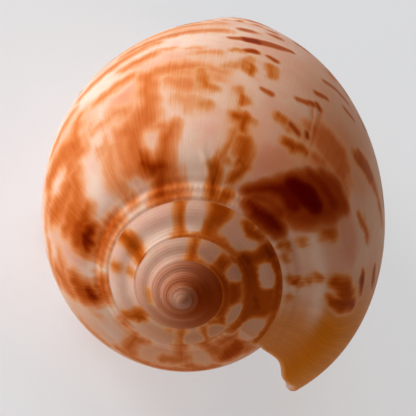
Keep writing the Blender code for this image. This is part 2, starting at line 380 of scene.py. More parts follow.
def shell_skin():
    """Build the whole surface of the shell in mm, with the apex at the origin."""
    skin = Skin()
    full = 2 * math.pi

    # Ramps from the last whorl back to the tip
    ramps = []
    for turn in range(SPIRE_TURNS + 1):
        detail = min(turn, SPIRE_TURNS - 1)
        columns = RAMP_COLUMNS[detail] if turn < SPIRE_TURNS else 1
        angles = -full * (turn + np.arange(columns)[:, None] / columns)
        rows = RAMP_ROWS[detail]
        places = SHOULDER_PLACE * (np.arange(rows) / rows) ** RAMP_CROWDING
        ramps.append((angles, places, skin.add(outside(angles, places), angles, places)))

    # Last whorl below the shoulder, and the wall that it goes on as inside the mouth
    rows = body_rows()
    columns = RAMP_COLUMNS[0]
    body_angles = -full * np.arange(columns)[:, None] / columns
    body = skin.add(outside(body_angles, rows), body_angles, rows)
    mouth_columns = round(MOUTH_TURN / 360 * columns / MOUTH_COLUMN_STEP)
    mouth_angles = -full * np.arange(mouth_columns + 1)[:, None] * MOUTH_COLUMN_STEP / columns
    corner = int(np.argmin(np.abs(rows - SHOULDER_PLACE - MOUTH_CORNER)))
    deep = ease(-np.degrees(mouth_angles) / MOUTH_FADE)
    under = skin.add(outside(mouth_angles - full, rows), mouth_angles - full, rows, deep)
    under[0, 0, 0] = ramps[0][2][0, 0, 0]
    skin.sheet(body)
    skin.lace(body[-1], under[0])
    skin.sheet(under[:, corner:])

    # Each ramp joins the one before it, and its outer edge is the suture of the whorl after it
    for turn in range(SPIRE_TURNS):
        angles, _, ramp = ramps[turn]
        before = ramps[turn + 1][2]
        skin.sheet(ramp)
        skin.lace(ramp[-1], before[0])
        edge = list(ramp[:, -1]) + [before[0, -1]]
        if turn == 0:
            suture = list(body[:, 0]) + [under[0, 0]]
        else:
            newer_angles, _, newer = ramps[turn - 1]
            suture = list(skin.again(newer[:, :1], newer_angles - full, SHOULDER_PLACE)[:, 0])
            suture += list(skin.again(ramp[:1, :1], angles[:1] - full, SHOULDER_PLACE)[0])
        skin.lace(edge, suture)

    # Tip of the spire
    last = ramps[-1][0].item()
    loop = list(ramps[-2][2][:, 0]) + list(ramps[-1][2][0])
    edge = skin.positions(loop)
    middle = edge[len(ramps[-2][2])] * [0.0, 0.0, 0.5]
    dome = middle + (edge - middle) * [TIP_RING, TIP_RING, TIP_RING ** 2]
    ring = list(skin.add(dome, np.full(len(loop), last), np.zeros(len(loop))))
    skin.lace(loop + loop[:1], ring + ring[:1])
    skin.fan(skin.add(middle, last, 0.0), ring)

    # Inner sheet of the last whorl, which meets the mouth's wall in a corner
    roof = np.linspace(CREST_PLACE + ROOF_START, FRONT_PLACE, LINING_ROWS + 1)
    lining = skin.add(inner(mouth_angles, roof), mouth_angles, roof, 1.0)
    lining = np.concatenate([under[:, corner:corner + 1], lining], axis=1)
    skin.sheet(lining)
    skin.lace(lining[-1], under[-1, corner:])

    # Rounded edge of the lip, from the suture to the front end
    lip_places = np.concatenate([ramps[0][1], rows])
    edge_places = lip_places[lip_places > EDGE_START]
    chains = [list(ramps[0][2][0]) + list(body[0])]
    for i in range(1, RIM_TURNS):
        share = i / RIM_TURNS
        edge = skin.add(rim(0.0, edge_places, share, True), 0.0, edge_places, ease(share))
        chains.append([under[0, round(share * corner)]] + list(edge))
    chains.append(list(lining[0]))
    for first, second in zip(chains[:-1], chains[1:]):
        skin.lace(first, second)

    # Rounded edge of the front end, and the end of the pillar
    shared = mouth_columns * MOUTH_COLUMN_STEP
    fronts = [list(body[:shared + 1, -1])]
    for i in range(1, RIM_TURNS):
        share = i / RIM_TURNS
        angles = mouth_angles[1:, 0]
        edge = skin.add(rim(angles, FRONT_PLACE, share, False), angles, FRONT_PLACE, ease(share))
        fronts.append([chains[i][-1]] + list(edge))
    fronts.append(list(lining[:, -1]))
    for first, second in zip(fronts[:-1], fronts[1:]):
        skin.lace(first, second)
    loop = list(body[shared:, -1]) + list(under[:, -1])
    loop += [chain[-1] for chain in reversed(fronts[1:])]
    depth = skin.positions(under[:1, -1])[0, 2] - FRONT_DOME
    aside = mouth_angles[-1, 0] - math.pi / 2
    middle = [PILLAR_OFFSET * math.cos(aside), -PILLAR_OFFSET * math.sin(aside), depth]
    skin.fan(skin.add(middle, mouth_angles[-1, 0], FRONT_PLACE, 1.0), loop)
    return skin


def resting():
    """Turn from the coiled shell to its resting pose."""
    roll = Matrix.Rotation(math.radians(REST_ROLL), 3, "Z")
    lay = Matrix.Rotation(math.radians(90 - APEX_LIFT), 3, "X")
    return np.array(lay @ roll)


def srgb(red, green, blue):
    """Linear colour of a display colour."""
    share = np.array([red, green, blue]) / 255
    linear = np.where(share > 0.04045, ((share + 0.055) / 1.055) ** 2.4, share / 12.92)
    return (*linear.tolist(), 1.0)


# Pattern, as strokes of (degrees behind the lip, place, half width in mm at the size of the lip).
# Each stroke starts with its depth of colour: 0.4 faint, 0.6 full, 0.8 burnt, 1 dark, 1.2 maroon.
# A half width below 0 makes a thin, fainter streak.
WASHES = [
    [0.5, (205, 14, 1.5), (190, 14, 2), (176, 15, 2)],
    [0.5, (168, 27, 3), (150, 31, 3), (132, 33, 2)],
    [0.6, (160, 13, 2), (158, 9, 2), (158, 5, 1.5)],
    [0.45, (148, 20, 1.5), (140, 19, 2), (128, 20, 1.5)],
    [0.4, (222, 9, 1.6), (246, 9, 1.6), (275, 8, 1.5)],
    [0.5, (84, 8, 4), (80, 14, 4), (70, 18, 3)],
    [0.4, (116, 9, 1.5), (112, 5, 1.6), (122, 15, 1.2)],
    [0.6, (290, 4, 2.4), (320, 4, 2.6), (350, 4, 2.4)],
]
ORANGE = [
    # Great flame of the upper left
    [0.6, (150.5, 16.8, 0.5), (150.5, 14.5, 0.6), (150.5, 12.5, 0.7), (152.5, 10.5, 1.3)],
    [0.62, (152.5, 10.5, 1.3), (156.5, 9.3, 1.3), (161, 9.6, 0.9)],
    [0.68, (157, 9, 1.2), (158, 7.4, 1.1), (158, 5.6, 0.8)],
    [0.54, (163, 9, 0.6), (164, 7, 0.7), (163, 5, 0.6)],
    [0.46, (168.5, 8.6, 0.4), (171, 7, 0.5), (172, 5.2, 0.5), (171, 3.6, 0.4)],
    [0.74, (141.5, 8.7, 0.1), (144, 7.7, 0.4), (146, 6.2, 0.7), (147, 5, 0.8)],
    [0.58, (154, 8.9, 0.4), (147, 8.9, 0.3), (142, 8.7, 0.1)],
    [1.0, (156, 5.2, 0.5), (152, 4.3, 0.7), (148, 4.4, 0.6)],
    [0.86, (156, 6.8, 0.4), (155, 5, 0.7)],
    [0.86, (147.5, 4.2, 0.7), (149, 2.6, 0.8), (151, 1.2, 0.7)],
    [0.74, (151, 1.4, 0.7), (146, 1.0, 0.6), (140, 1.0, 0.3)],
    [0.62, (143, 3, 0.5), (140.5, 1.6, 0.4), (138.5, 0.6, 0.3)],
    [0.76, (166.5, 2.6, -0.2), (169.5, 1.9, -0.1)],
    [0.66, (170, 3.4, -0.2), (171, 2.4, -0.2)],
    # What reaches right from its top
    [0.48, (151, 16.8, 0.5), (145, 17.8, 0.6), (138, 18, 0.6), (130, 17.6, 0.4), (126, 17.2, 0.3)],
    [0.4, (142, 15, 0.8), (137, 14.6, 1.2), (132.5, 14.4, 0.8)],
    [0.34, (140, 12.4, 0.6), (135, 11.6, 0.8), (133, 11, 0.3)],
    [0.36, (142, 16.6, 0.4), (133, 16.4, 0.6), (127, 16, 0.4)],
    # Streaks between the flame and the left edge
    [0.6, (170, 16.1, -0.1), (164, 16.8, 0.2), (157, 18, 0.1)],
    [0.66, (160, 20.6, 0.0), (155, 21.4, 0.2), (150.5, 22.3, 0.0)],
    [0.6, (178, 21.4, 0.1), (168, 23, 0.2), (160, 24.6, 0.2), (151, 26.4, 0.1)],
    [0.6, (150, 23.2, -0.5), (143, 22.9, -0.5)],
    [0.6, (139, 22.6, -0.5), (134.5, 22.6, -0.5)],
    [0.56, (136, 21.2, -0.2), (129, 21.6, -0.2)],
    [0.58, (162, 26.6, 0.4), (152, 27.8, 0.5), (142, 28.8, 0.6), (128, 29.6, 0.4)],
    [0.5, (166, 29.5, 0.5), (154, 31.8, 0.7), (142, 33.5, 0.7), (130, 34.5, 0.5)],
    [0.58, (177.2, 16.2, 0.05), (179.5, 14.6, 0.4), (182, 12.8, 0.8)],
    [0.5, (172.8, 13.4, -0.4), (173.8, 12.2, -0.3)],
    [0.52, (174, 11.9, -0.3), (168, 12.1, -0.1), (163, 12.5, 0.3), (158, 12, 0.5)],
    [0.48, (168, 10.7, -0.4), (169.5, 9.6, 0.1), (172, 9.2, 0.0)],
    [0.5, (173.5, 9.8, -0.3), (168, 8.9, 0.1), (164, 8.8, 0.4)],
    # Left edge
    [0.62, (182, 12.6, 1.0), (187, 13.2, 1.4), (194, 13.6, 1.2), (201, 13.8, 0.8)],
    [0.58, (180, 11.4, 0.5), (185, 11.6, 0.8), (190, 11, 0.6)],
    [0.54, (182, 19, 0.4), (188, 18, 0.4), (194, 17, 0.3)],
    [0.64, (187, 9.8, 0.4), (190, 8.6, 0.7), (194, 7.4, 1.0), (196, 6.4, 1.0)],
    [0.62, (193, 9.6, 0.8), (199, 9.4, 1.0), (205, 10, 1.0), (210, 11, 0.7)],
    [0.68, (198, 7.2, 1.2), (203, 7, 1.2), (208, 7.4, 0.6)],
    [0.48, (205, 12.6, 0.5), (212, 12.6, 0.4), (218, 12.6, 0.3)],
    [0.8, (193, 5.6, 0.5), (198, 5.2, 0.9), (203, 5.4, 1.2), (209, 5.0, 0.9)],
    [1.05, (200, 3.8, 0.5), (205, 4.0, 0.9), (210, 3.7, 0.6)],
    [0.82, (184, 1.6, 0.3), (192, 1.8, 0.4), (202, 1.9, 0.5), (212, 1.9, 0.4)],
    # Brown above the great blotch
    [0.62, (92, 9.8, 0.0), (87, 10.6, 0.3), (81, 11, 0.5)],
    [0.54, (91, 14.4, 0.6), (85, 14.6, 2.0), (79, 14.2, 2.3), (74, 13, 1.5), (70, 11.6, 0.6)],
    [0.5, (95, 12.4, 0.1), (90, 12.8, 0.5)],
    # Lower left
    [0.5, (221, 8.4, 0.1), (226, 8, 0.5), (231, 7.8, 0.8)],
    [0.64, (231, 9.6, 0.7), (236, 8, 1.0), (240, 7, 0.6)],
    [0.56, (222, 11.6, 0.2), (232, 11.6, 0.4), (238, 10.5, 0.4)],
    [0.82, (232, 5.6, 0.8), (237, 5, 1.2), (241, 4.6, 0.8)],
    [1.1, (237, 3.8, 0.5), (241, 3.6, 0.7)],
    [0.82, (229, 1.2, 0.5), (235, 1.6, 0.9), (240, 1.8, 0.7)],
    [0.36, (246, 4.8, 0.1), (253, 4.2, 0.2)],
    [0.5, (257, 9, 0.3), (265, 8.4, 0.4), (272, 8, 0.5)],
    [0.6, (261, 0.4, 0.4), (265, 1.1, 0.5)],
    [0.66, (275.5, 1.4, 0.2), (279, 2.4, 0.4), (284, 1.8, 0.4)],
    [0.66, (279, 2.8, 0.3), (279.5, 4.6, 0.4), (284, 6, 0.4)],
    [0.7, (278, 6.6, 0.4), (288, 6.9, 0.4), (300, 7.2, 0.4), (314, 7, 0.5), (330, 7, 0.5)],
    [0.66, (311.5, 0.4, 0.4), (311.5, 3, 0.4)],
    [0.66, (302, 4.2, 0.3), (308, 4, 0.4), (314, 3.6, 0.4)],
    [0.66, (316.5, 5.4, 0.5), (320, 6.2, 0.4)],
    [0.7, (331, 0.3, 0.4), (334, 1.8, 0.5), (337, 3.4, 0.8)],
    [0.86, (340, 5, 1.2), (346, 4.6, 1.4), (352, 4.0, 1.1)],
    [0.72, (344, 1.8, 0.7), (352, 1.9, 0.8), (358, 2.4, 0.8)],
    [0.66, (352, 6.4, 0.7), (358, 5.2, 0.6)],
]
OCHRE = [
    [0.44, (132.6, 17.2, 0.25), (132, 15.4, 0.4), (131, 14.2, 0.5), (127, 13.8, 0.25)],
    [0.32, (132, 11.6, 0.5), (129, 11.4, 0.4)],
    [0.36, (126, 18.4, 0.5), (120, 19.4, 0.9), (118, 21.5, 0.5)],
    [0.62, (118.2, 20.2, 0.25), (117.2, 18.6, 0.35)],
    [0.46, (124, 22.6, 0.2), (121, 23.2, 0.35)],
    [0.52, (110.8, 21.5, 0.3), (110, 19.4, 0.35)],
    [0.42, (119.5, 14.6, 0.4), (117.6, 13, 0.6)],
    [0.66, (118, 13.4, 0.22), (117, 12.9, 0.25)],
    [0.68, (119, 10.4, 0.35), (115.5, 10.3, 0.6), (115, 9.2, 0.45)],
    [0.32, (117.8, 11.8, 0.4), (117.6, 11.4, 0.4)],
    # Fold, and the flame beside it
    [0.5, (117.6, 8.4, 0.15), (118.6, 6.6, 0.3), (120, 5, 0.35)],
    [0.72, (122.5, 4.2, 0.35), (121, 3.6, 0.4), (120, 2, 0.35), (119.5, 0.8, 0.3)],
    [0.5, (121, 4.3, 0.3), (116.5, 4.8, 0.25)],
    [0.56, (113.5, 7.4, 0.7), (111.5, 6.2, 0.8), (110, 5.2, 0.6)],
    [0.68, (111.5, 5.0, 0.35), (108.5, 4.8, 0.3), (110.5, 3.8, 0.35), (112, 3, 0.2)],
    [0.62, (113.5, 0.7, 0.35), (110.5, 1.3, 0.35)],
    # Right of the flame
    [0.5, (104, 12.7, 0.3), (99, 12.4, 0.4), (96, 12.2, 0.35)],
    [0.74, (98, 9.8, 0.25), (95.3, 9.7, 0.4)],
    [0.62, (93.3, 10, 0.35), (91, 10.4, 0.4)],
    [0.62, (70, 18.6, 0.8), (66, 19.6, 1.1), (61, 20.3, 0.9)],
    [0.56, (60, 20.2, 0.7), (54, 20.8, 0.6), (49, 21, 0.4)],
    [0.56, (66, 1.1, 0.2), (63.5, 1.4, 0.1)],
    [0.5, (58.5, 0.7, 0.1), (56.5, 0.9, 0.0)],
    [0.56, (66, 6.2, 0.8), (62, 6.2, 0.7)],
    [0.46, (62.3, 3, 0.12), (61.8, 3.2, 0.12)],
    [0.62, (58, 12.8, 0.2), (54.5, 13.4, 0.4), (51, 14, 0.2)],
    # Before the lip
    [0.6, (45, 0.7, 0.0), (43, 1.3, 0.1), (42, 2.0, -0.1)],
    [1.0, (42.2, 1.5, -0.1), (41.8, 1.8, -0.1)],
    [0.62, (42.3, 2.8, -0.15), (42.2, 3, -0.15)],
    [0.66, (44, 3.6, -0.15), (42.8, 4.1, -0.1)],
    [0.5, (33, 0.6, 0.07), (33, 0.9, 0.07)],
    [0.66, (41.5, 6, 0.5), (39.5, 7.2, 0.8), (36, 8.2, 0.8)],
    [0.82, (34.2, 5.6, 0.2), (33.4, 7.4, 0.3), (33.4, 9.6, 0.3)],
    [0.8, (39, 7.9, 0.2), (38.2, 8.1, 0.2)],
    [1.15, (41.5, 11.4, -0.1), (39, 11.4, 0.15), (36.6, 11.4, -0.1)],
    [1.1, (40, 15.8, -0.1), (38, 15.9, 0.1), (36.2, 16, -0.1)],
]
MAROON = [
    # Great blotch of the right
    [0.66, (93, 3.2, 0.4), (86, 4.4, 2.0), (79, 5.8, 2.8), (73, 7.4, 2.0), (69, 9, 1.0)],
    [1.25, (87, 5.8, 0.7), (80, 6.1, 1.1), (74, 6.2, 0.8)],
    [1.0, (102, 2.6, 0.0), (94, 3.9, 0.4), (88, 4.8, 0.8), (80, 4.4, 0.9)],
    [1.0, (97, 1.5, 0.2), (90, 1.2, 0.6), (83, 1.4, 0.8), (76, 1.5, 0.5)],
    [0.84, (84, 8.2, 0.3), (77, 8.6, 0.8), (70, 8.4, 0.8)],
    [0.64, (79, 9.6, 0.6), (73, 10.2, 1.1), (67, 10.0, 0.8)],
    [0.8, (77, 3.4, 0.2), (73, 4.2, 0.0)],
    [0.8, (97, 2.4, 0.1), (90, 2.9, 0.5), (82, 2.8, 0.6)],
]
DASHES = [
    [0.95, (120, 27.2, 0.7), (117, 27.4, 0.8)],
    [0.6, (117, 27.5, 0.8), (110, 28.2, 0.8), (104, 29, 0.4)],
    [0.5, (125, 26.8, 0.4), (121, 27.1, 0.6)],
    [0.7, (123, 31.4, 0.3), (113, 32.6, 0.35), (107, 33.6, 0.2)],
    [0.76, (119.5, 23.6, 0.3), (116.8, 23.9, 0.4)],
    [0.62, (112, 23.7, 0.25), (109.6, 23.4, 0.35)],
    [0.56, (112, 16, 0.15), (108.6, 15.7, 0.22)],
    [0.66, (99, 12.6, 0.25), (95.6, 12.2, 0.3)],
    [0.5, (99.5, 17.4, 0.2), (96, 18, 0.35)],
    [0.62, (95, 18.4, 0.2), (93.5, 18.6, 0.3)],
    [0.62, (92, 19.2, 0.25), (90.8, 18.8, 0.3)],
    [0.4, (93.6, 18.6, 0.0), (92.3, 16.4, 0.0), (91.4, 13.8, -0.05)],
    [0.4, (90.8, 19, 0.0), (89.6, 17.4, 0.0), (89.2, 15.6, -0.05)],
    [0.8, (92.4, 13.2, 0.12), (91.6, 12.6, 0.14)],
    [0.56, (93.4, 21.4, 0.25), (89, 22.2, 0.25)],
    [0.5, (90, 26.4, 0.3), (84, 27.4, 0.35), (78, 27.6, 0.3)],
    [0.5, (80, 24.6, 0.25), (75, 24.8, 0.25)],
]
# The same for the whorls before the last one
SPIRE_MARKS = [
    # One whorl back
    [0.7, (498.5, 6.4, 0.4), (498.5, 3, 0.45), (498.5, 0.6, 0.6)],
    [0.62, (504, 0.5, 0.3), (490, 0.3, 0.25), (478, 0.6, 0.4)],
    [0.8, (475.5, 6.2, 0.3), (470.5, 5.4, 1.3), (472, 4, 1.0)],
    [0.76, (473.5, 3.2, 0.8), (473.5, 1.2, 0.8)],
    [0.66, (474, 1.4, 0.8), (466, 0.6, 0.6), (452, 0.6, 0.5), (440, 0.6, 0.5)],
    [0.8, (450, 5.4, 0.6), (445, 4.7, 0.8), (440, 5.4, 0.6)],
    [0.86, (431, 1.0, 1.0), (430, 3, 1.4), (428, 5.4, 1.0)],
    [0.84, (424, 1.2, 1.2), (410, 1.2, 1.4), (395, 1.4, 1.6), (375, 1.2, 1.0)],
    [0.84, (424, 5.8, 0.4), (410, 5.7, 0.3), (396, 5.5, 0.6), (386, 5.3, 0.8)],
    [0.84, (396, 3.4, 1.4), (386, 3.2, 1.8), (378, 2.6, 1.2)],
    [0.74, (384, 5.8, 0.4), (372, 5.9, 0.4), (361, 6, 0.3)],
    [0.76, (375, 0.8, 0.5), (361, 0.8, 0.5)],
    [1.05, (430, 5.4, 0.3), (424, 5.5, 0.5)],
    [1.0, (434, 1.6, 0.3), (427, 1.8, 0.6)],
    [1.0, (393, 1.8, 0.5), (385, 2.6, 0.6)],
    [0.84, (548, 6, 0.4), (546, 4.4, 0.7), (547, 2.6, 0.8), (550, 0.9, 0.5)],
    [0.6, (572.5, 5.2, 0.25), (572, 4.5, 0.2)],
    [0.56, (571, 1.6, 0.15), (571, 1.2, 0.15)],
    [0.78, (618, 6, 0.6), (621, 3.8, 0.8), (620, 1.4, 0.7)],
    [0.94, (623, 3.4, 0.4), (625, 2.6, 0.4)],
    [0.54, (657, 1.7, 0.3), (659, 1.1, 0.2)],
    [0.68, (672, 6.4, 0.5), (672, 3, 0.3), (672, 0.8, 0.6)],
    [0.66, (700, 1.2, 0.5), (697, 3.5, 0.4), (694, 6, 0.3)],
    [0.7, (716, 6.4, 0.3), (706, 6.4, 0.3), (690, 6.8, 0.2), (676, 6.8, 0.3)],
    [0.76, (719, 3, 0.8), (714, 1, 0.6)],
    # Two whorls back
    [0.76, (843, 6.2, 0.7), (843, 3.4, 0.7), (843, 1, 1.0)],
    [0.6, (836, 0.6, 0.5), (812, 0.8, 0.6)],
    [0.56, (830, 6.8, 0.3), (810, 6.8, 0.4)],
    [0.84, (806, 3.4, 1.6), (800, 3.4, 1.8)],
    [0.84, (808, 0.8, 0.5), (790, 0.9, 0.8), (760, 1.3, 1.2), (730, 1.3, 1.2)],
    [0.84, (800, 6.4, 0.4), (780, 6.6, 0.3), (762, 6.4, 0.5), (745, 6.4, 0.3), (724, 6.4, 0.4)],
    [0.88, (770, 3.4, 1.4), (758, 3.4, 1.6), (750, 3.0, 1.2)],
    [0.8, (724, 2.6, 1.0), (721, 3.2, 0.8)],
    [0.5, (962, 1.8, 0.3), (946, 1.7, 0.3)],
]
PALE = [
    [0.34, (151, 8, 0.5), (150, 6.8, 0.2)],
    [0.24, (192, 11.8, 0.2), (198, 12.2, 0.2)],
    [0.3, (163, 3, 0.5), (161, 2.6, 0.5)],
    [0.2, (89, 2.7, 0.2), (86.5, 3.0, 0.2)],
    [0.8, (489, 4.6, 0.6), (488, 2.6, 0.6)],
    [0.7, (456, 3.6, 0.5), (446, 2.6, 0.6), (436, 3.6, 0.3)],
    [0.95, (414, 3.8, 0.4), (406, 3.8, 0.5)],
    [0.85, (370, 3.6, 0.7), (362, 3.4, 0.8)],
    [0.62, (826, 4.2, 1.2), (820, 3.4, 1.0)],
    [0.62, (788, 4.4, 0.8), (782, 4.2, 0.9)],
    [0.62, (741, 5, 0.5), (730, 4.9, 0.7)],
    [0.7, (710, 4.2, 0.7), (708, 4.2, 0.7)],
    [0.7, (686, 4.6, 0.7), (681, 4.6, 0.7)],
]
# Pink flush of the shell; the two strokes by the great blotch are painted shade on the shoulder
# below the crest
PINK_AND_SHADE = [
    [0.9, (163, 12.6, 0.9), (158, 14.2, 1.3), (154, 15.6, 0.8)],
    [0.5, (214, 9.6, 1.4), (208, 12.6, 0.8)],
    [0.7, (214, 6.6, 0.8), (218, 4.8, 0.9)],
    [0.45, (130, 6.6, 0.8), (126, 8, 0.7), (124, 6, 0.4)],
    # Painted shade, pink-brown, on the shoulder below the crest, turned from the key light
    [0.9, (104, 5.6, 1.4), (100, 6.8, 1.4), (97, 8, 1.0)],
    [0.5, (106, 3, 1.0), (100, 4, 1.2)],
    [0.6, (66, 9.6, 1.4), (60, 9, 1.6), (53, 8.6, 1.4)],
    [0.5, (72, 4.2, 0.6), (64, 4.4, 0.5)],
]

# Edges of the strokes in mm: how far outside its half width a stroke's colour is half gone, and
# half the distance over which it fades
WASH_EDGE = (1.2, 2.2)
PINK_AND_SHADE_EDGE = (0.3, 1.3)
SOFT_EDGE = (0.65, 1.6)
SPIRE_EDGE = (0.8, 1.4)
PALE_EDGE = (0.4, 1.1)
OCHRE_EDGE = (0.4, 1.0)
BLOTCH_EDGE = (0.45, 1.15)
DASH_EDGE = (0.15, 0.5)

# How far from its middle a stroke is looked for, in degrees, and the depth of the spire's marks
REACH = 30.0
SPIRE_DEPTH = 0.84

# Tan in the ground on the sides turned from the key light, painted warm shade and partly the
# shell's
# own tan: degrees behind the lip, and share
TAN_AND_SHADE = [
    (0, 0.9), (40, 0.4), (60, 0.3), (80, 0.45), (110, 0.35), (125, 0.1), (140, 0), (200, 0),
    (235, 0.2), (260, 0.7), (300, 1), (360, 1),
]
# Its share on the spire; the lower share on the ramp is painted light; the extra share lower on
# the body near the lip is painted shade
SPIRE_SHADE = 1.05
RAMP_SHADE = 0.6
RAMP_END = 5
SIDE_SHADE = 0.35
SIDE_PLACES = (12, 22)
SIDE_HEADINGS = (110, 80)

# Brown on the side of the spire turned from the key light, partly its own brown and partly painted
# shade: the heading of its darkest side, in degrees behind the lip, its share on the whorls near
# the last one, where it grows to full, and where it fades by a share at the tip
DUSK_HEADING = 1110
DUSK_START = 0.22
DUSK_GROWTH = (700, 1150)
DUSK_FADE = (1500, 2100)
DUSK_FADE_SHARE = 0.75
DUSK_SPREAD = 0.9

# Lip's own colour: how far behind the lip it goes by the suture, how much further below the ramp,
# over how many degrees it fades, and its shares by the suture and far along the lip
LIP_START = 15
LIP_BELLY = 7
LIP_BELLY_PLACES = (3, 6)
LIP_FADE = 27
LIP_RAMP_SHARE = 0.72
LIP_RAMP_PLACES = (2, 7)
LIP_FAR_FADE = 0.75
LIP_FAR_PLACES = (16, 30)

# Pale band along the crest of the ramp, a painted highlight and partly the crest's own paler
# colour:
# how far from the crest, its half width, and where it is
CREST_LIFT = 0.3
CREST_WIDTH = 0.8
CREST_HEADINGS = (80, 60)
CREST_LIP_FADE = (12, 37)

# Brown of the small early whorls, in degrees behind the lip
EARLY_GROWTH = (400, 1900)

# Where the photo stops showing the last whorl: degrees behind the lip, and place on the profile
SEEN = [
    (0, 13), (20, 14), (45, 21), (60, 26), (90, 30), (120, 37), (150, 33), (165, 28), (180, 23),
    (195, 19), (210, 16), (225, 13), (250, 11), (270, 9.5), (290, 8), (340, 7.5), (360, 8),
]
SEEN_FADE = 3

# Beyond it: rows of dashes, and flames between them
DASH_ROWS = (17.5, 21.0, 24.5, 28.5, 32.5, 36.5, 40.5, 44.0, 47.5, 51.0, 54.5, 58.0)
DASH_LENGTH = (3.0, 10.0)
DASH_GAP = (4.0, 16.0)
DASH_WIDTH = (0.18, 0.4)
DASH_LIFT = 0.3
DASH_SLANT = 0.2
DASH_DEPTH = (0.55, 1.0)
DASH_LIP_FADE = 0.8
FLAME_SIZE = 9.0
FLAME_DEPTH = 0.75
FLAME_RISE = 1.3

# Waves that make things uneven: how many, and the range of their numbers; and how far the strokes
# wander along the coil and across it, with lumps of a given size in mm
WAVES = 14
WAVE_NUMBERS = (0.5, 1.4)
WANDER_ALONG = 0.55
WANDER_ACROSS = 0.18
WANDER_SIZE = 2.2
MIDDLE_PLACE = 20.0


def across(place):
    """Millimetres on the lip for each degree of turn, at a place on the profile."""
    radius = natural_spline(KNOT_PLACES, KNOT_POINTS[:, 0], place)
    return radius * math.pi / 180


def painted(strokes, behind, place, edge=SOFT_EDGE):
    """Depth of colour that strokes leave at each spot."""
    middle, soft = edge
    soft = soft * WHORL_GROWTH ** (np.maximum(behind - SPIRE_START, 0) / 360)
    scale = across(place)
    field = np.zeros(len(behind))
    for depth, *stroke in strokes:
        for start, end in zip(stroke[:-1], stroke[1:]):
            near = np.abs(behind - (start[0] + end[0]) / 2) < REACH + abs(end[0] - start[0]) / 2
            along = (end[0] - start[0]) * scale[near]
            down = end[1] - start[1]
            x = (behind[near] - start[0]) * scale[near]
            y = place[near] - start[1]
            share = np.clip((x * along + y * down) / (along ** 2 + down ** 2), 0, 1)
            width = start[2] + (end[2] - start[2]) * share
            outside = np.hypot(x - share * along, y - share * down) - width
            share = ease(0.5 + 0.5 * (middle - outside) / soft[near])
            field[near] = np.maximum(field[near], depth * share)
    return field


def wander(x, y, size, seed):
    """Smooth uneven values from about -1 to 1 whose lumps are of a given size."""
    dice = np.random.default_rng(seed)
    total = np.zeros_like(x)
    for _ in range(WAVES):
        heading = dice.uniform(0, 2 * math.pi)
        waves = 2 * math.pi / size * dice.uniform(*WAVE_NUMBERS)
        along = x * math.cos(heading) + y * math.sin(heading)
        total += np.cos(waves * along + dice.uniform(0, 6.3))
    return total / math.sqrt(WAVES)


def hidden_dashes():
    """Strokes of the dashes on the side that the photo doesn't show."""
    dice = np.random.default_rng(5)
    strokes = []
    for row in DASH_ROWS:
        behind = dice.uniform(0, DASH_GAP[1])
        while behind < 355:
            end = behind + dice.uniform(*DASH_LENGTH)
            width = dice.uniform(*DASH_WIDTH)
            lifted = row + dice.uniform(-DASH_LIFT, DASH_LIFT)
            depth = dice.uniform(*DASH_DEPTH)
            strokes.append([depth, (behind, lifted, width), (end, lifted + DASH_SLANT, width)])
            behind = end + dice.uniform(*DASH_GAP)
    return strokes


def lip_share(behind, place):
    """Share of the lip's own colour."""
    start = LIP_START + LIP_BELLY * rise(place, *LIP_BELLY_PLACES)
    share = 1 - ease((behind - start) / LIP_FADE)
    share = share * (1 - LIP_FAR_FADE * rise(place, *LIP_FAR_PLACES))
    return share * (LIP_RAMP_SHARE + (1 - LIP_RAMP_SHARE) * rise(place, *LIP_RAMP_PLACES))


def tan_and_shade_share(behind, place):
    """Share of tan in the ground: painted warm shade, partly the shell's own tan."""
    share = np.interp(behind % 360, *zip(*TAN_AND_SHADE))
    ramp = np.where(place < RAMP_END, RAMP_SHADE, 1.0)
    share = share * np.where(behind > SPIRE_START, SPIRE_SHADE, ramp)
    return share + SIDE_SHADE * rise(place, *SIDE_PLACES) * rise(behind, *SIDE_HEADINGS)


def brown_and_shade_share(behind):
    """Share of brown on the side of the spire turned from the key light: partly its own brown,
    partly painted shade.
    """
    share = np.where(behind > SPIRE_START, DUSK_START, 0)
    share = share + (1 - DUSK_START) * rise(behind, *DUSK_GROWTH)
    facing = 0.5 + 0.5 * np.cos(np.radians(behind - DUSK_HEADING))
    return share * facing ** DUSK_SPREAD * (1 - DUSK_FADE_SHARE * rise(behind, *DUSK_FADE))


def crest_share(behind, place):
    """Share of the pale band along the crest of the ramp: a painted highlight, partly the crest's
    own paler colour.
    """
    share = band(place, CREST_PLACE + CREST_LIFT, CREST_WIDTH)
    return share * rise(behind, *CREST_HEADINGS) * rise(behind, *CREST_LIP_FADE)


def flames(x, place):
    """Depth of the flames on the side that the photo doesn't show."""
    height = wander(x, place * 0.8, FLAME_SIZE, 3)
    height = height + 0.5 * wander(x, place * 0.5, FLAME_SIZE / 3, 4)
    return FLAME_DEPTH * ease(height / FLAME_RISE)


